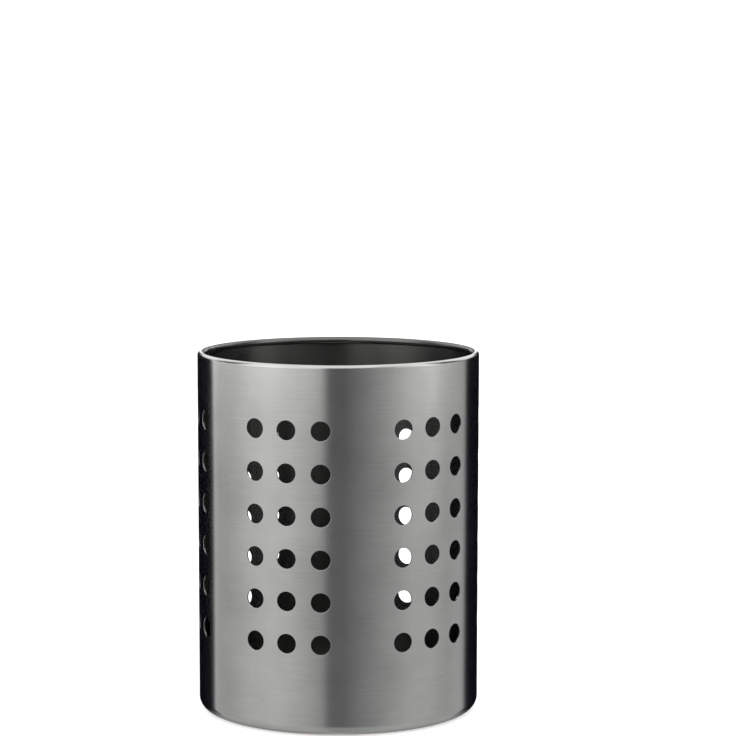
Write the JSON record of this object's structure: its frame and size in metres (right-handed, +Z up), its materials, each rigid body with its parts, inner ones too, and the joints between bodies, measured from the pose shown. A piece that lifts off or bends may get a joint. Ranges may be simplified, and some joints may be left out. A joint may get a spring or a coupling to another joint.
{
  "type": "cutlery holder",
  "caption": "Round perforated steel pot, open at the top, that holds kitchen tools upright, with a curled rim and a rounded foot.",
  "frame": {"origin": "centre of the standing ring, on the surface that the holder stands on", "axes": "+Z up along the wall's axis; -Y towards the pictured side, between its left group of holes and its right one; +X to the right in the picture"},
  "size_m": [0.12, 0.12, 0.154],
  "materials": {
    "brushed_wall": "stainless sheet, brushed round the wall, satin",
    "ground_weld": "stainless butt weld, ground flush and brushed",
    "drawn_wire": "drawn stainless wire",
    "pressed_base": "stainless sheet, pressed, mill finish",
    "bare_weld": "stainless weld bead, cleaned"
  },
  "bodies": {
    "root": {"perforated_wall": "brushed_wall", "wall_seam": "ground_weld", "rim_wire": "drawn_wire", "base_plate": "pressed_base", "base_weld": "bare_weld"}
  },
  "joints": []
}
